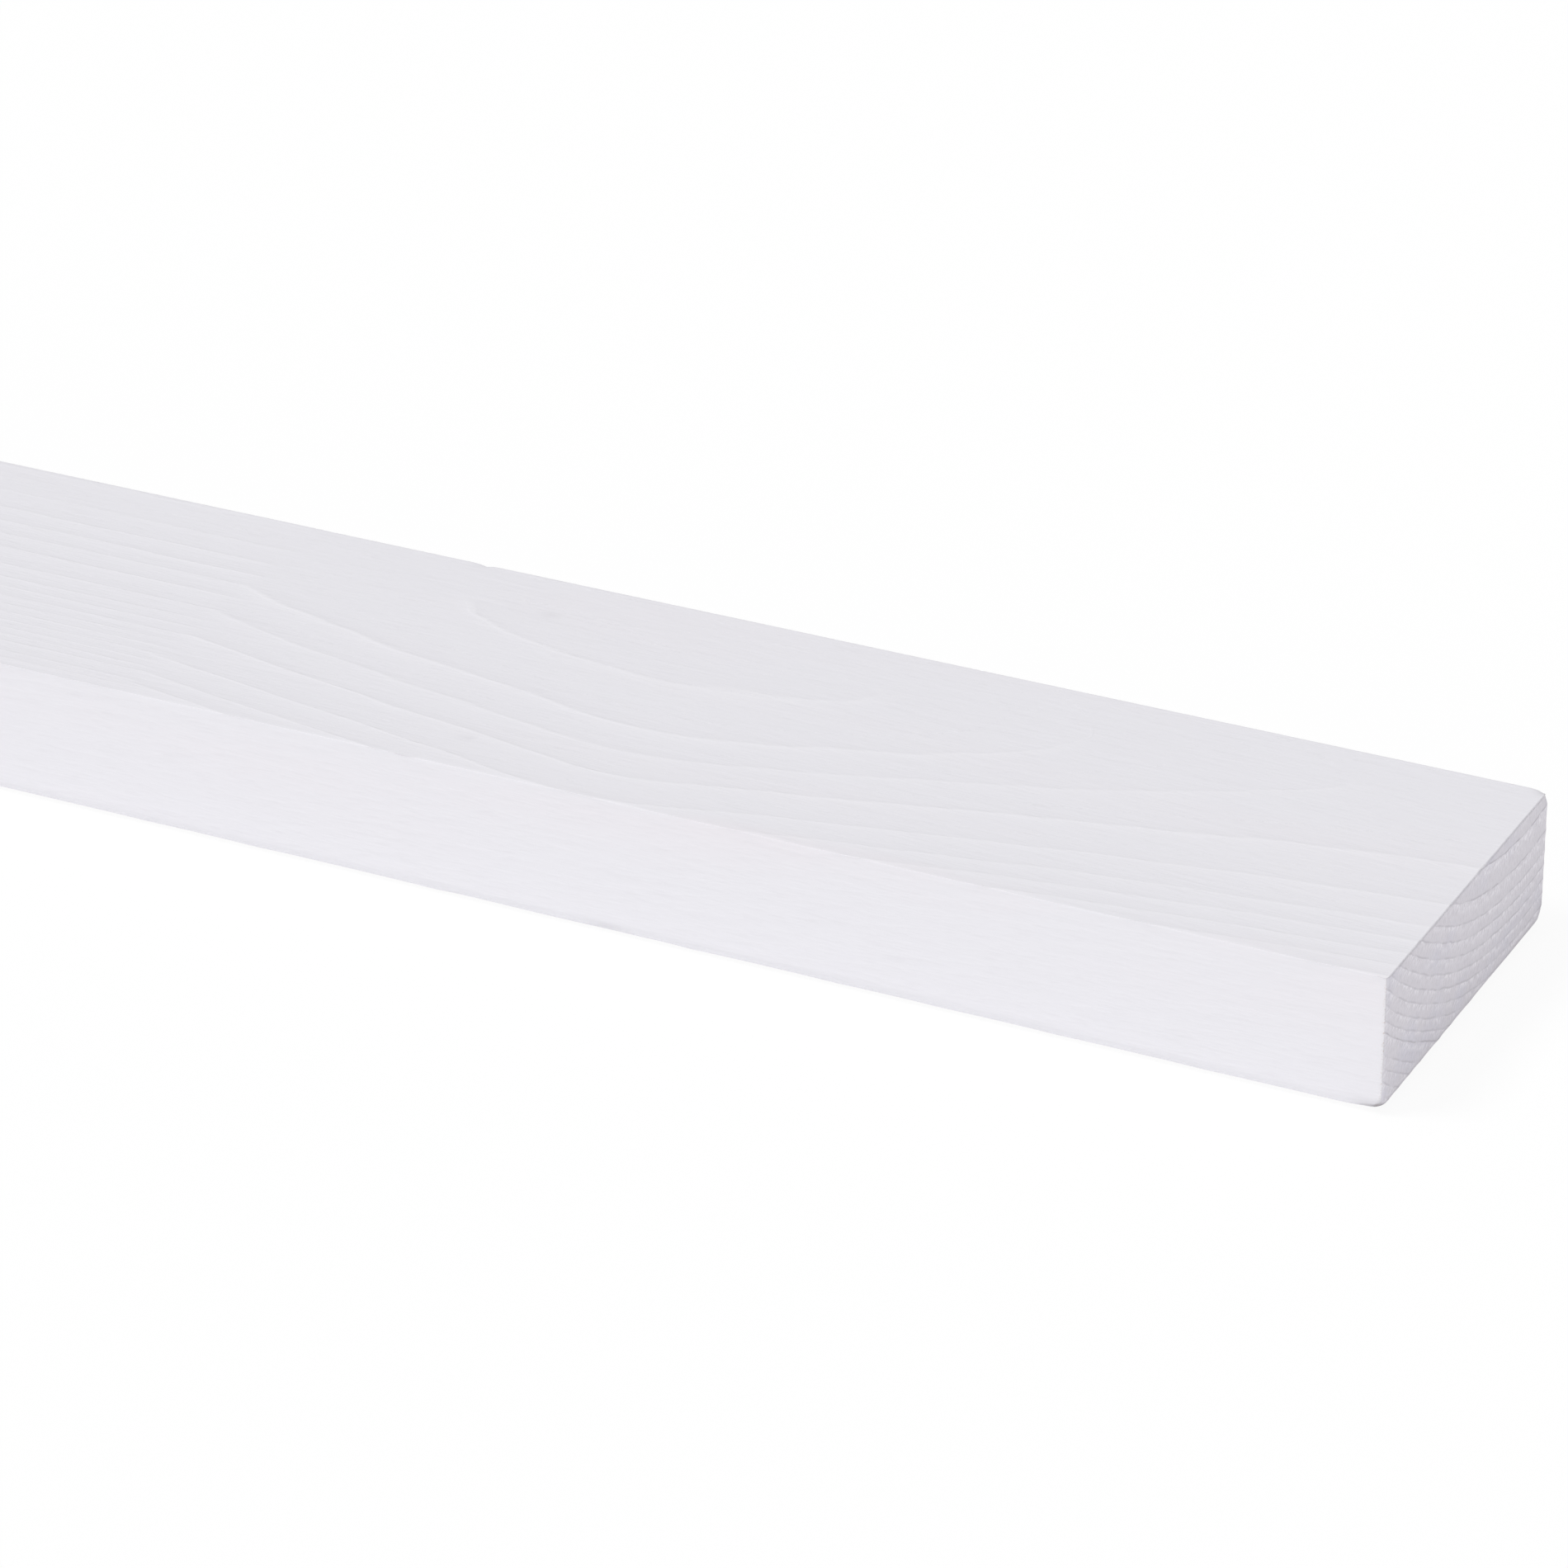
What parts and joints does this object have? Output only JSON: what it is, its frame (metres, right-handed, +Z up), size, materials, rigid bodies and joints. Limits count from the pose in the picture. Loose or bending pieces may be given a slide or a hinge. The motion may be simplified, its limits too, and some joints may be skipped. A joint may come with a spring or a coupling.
{
  "type": "planed batten",
  "caption": "Straight length of planed softwood batten, rectangular section with crisp upper and rounder lower long edges, squarely sawn ends, painted white.",
  "frame": {"origin": "bottom face's centre, halfway along the length, where the batten lies on the floor", "axes": "+X along the length towards the end that the picture shows, +Y across the width away from the viewer, +Z up through the thickness"},
  "size_m": [2.4, 0.043, 0.015],
  "materials": {
    "white_paint": "thin matt white primer coat over planed softwood, the growth rings showing through as low relief"
  },
  "bodies": {
    "root": {"batten": "white_paint"}
  },
  "joints": []
}
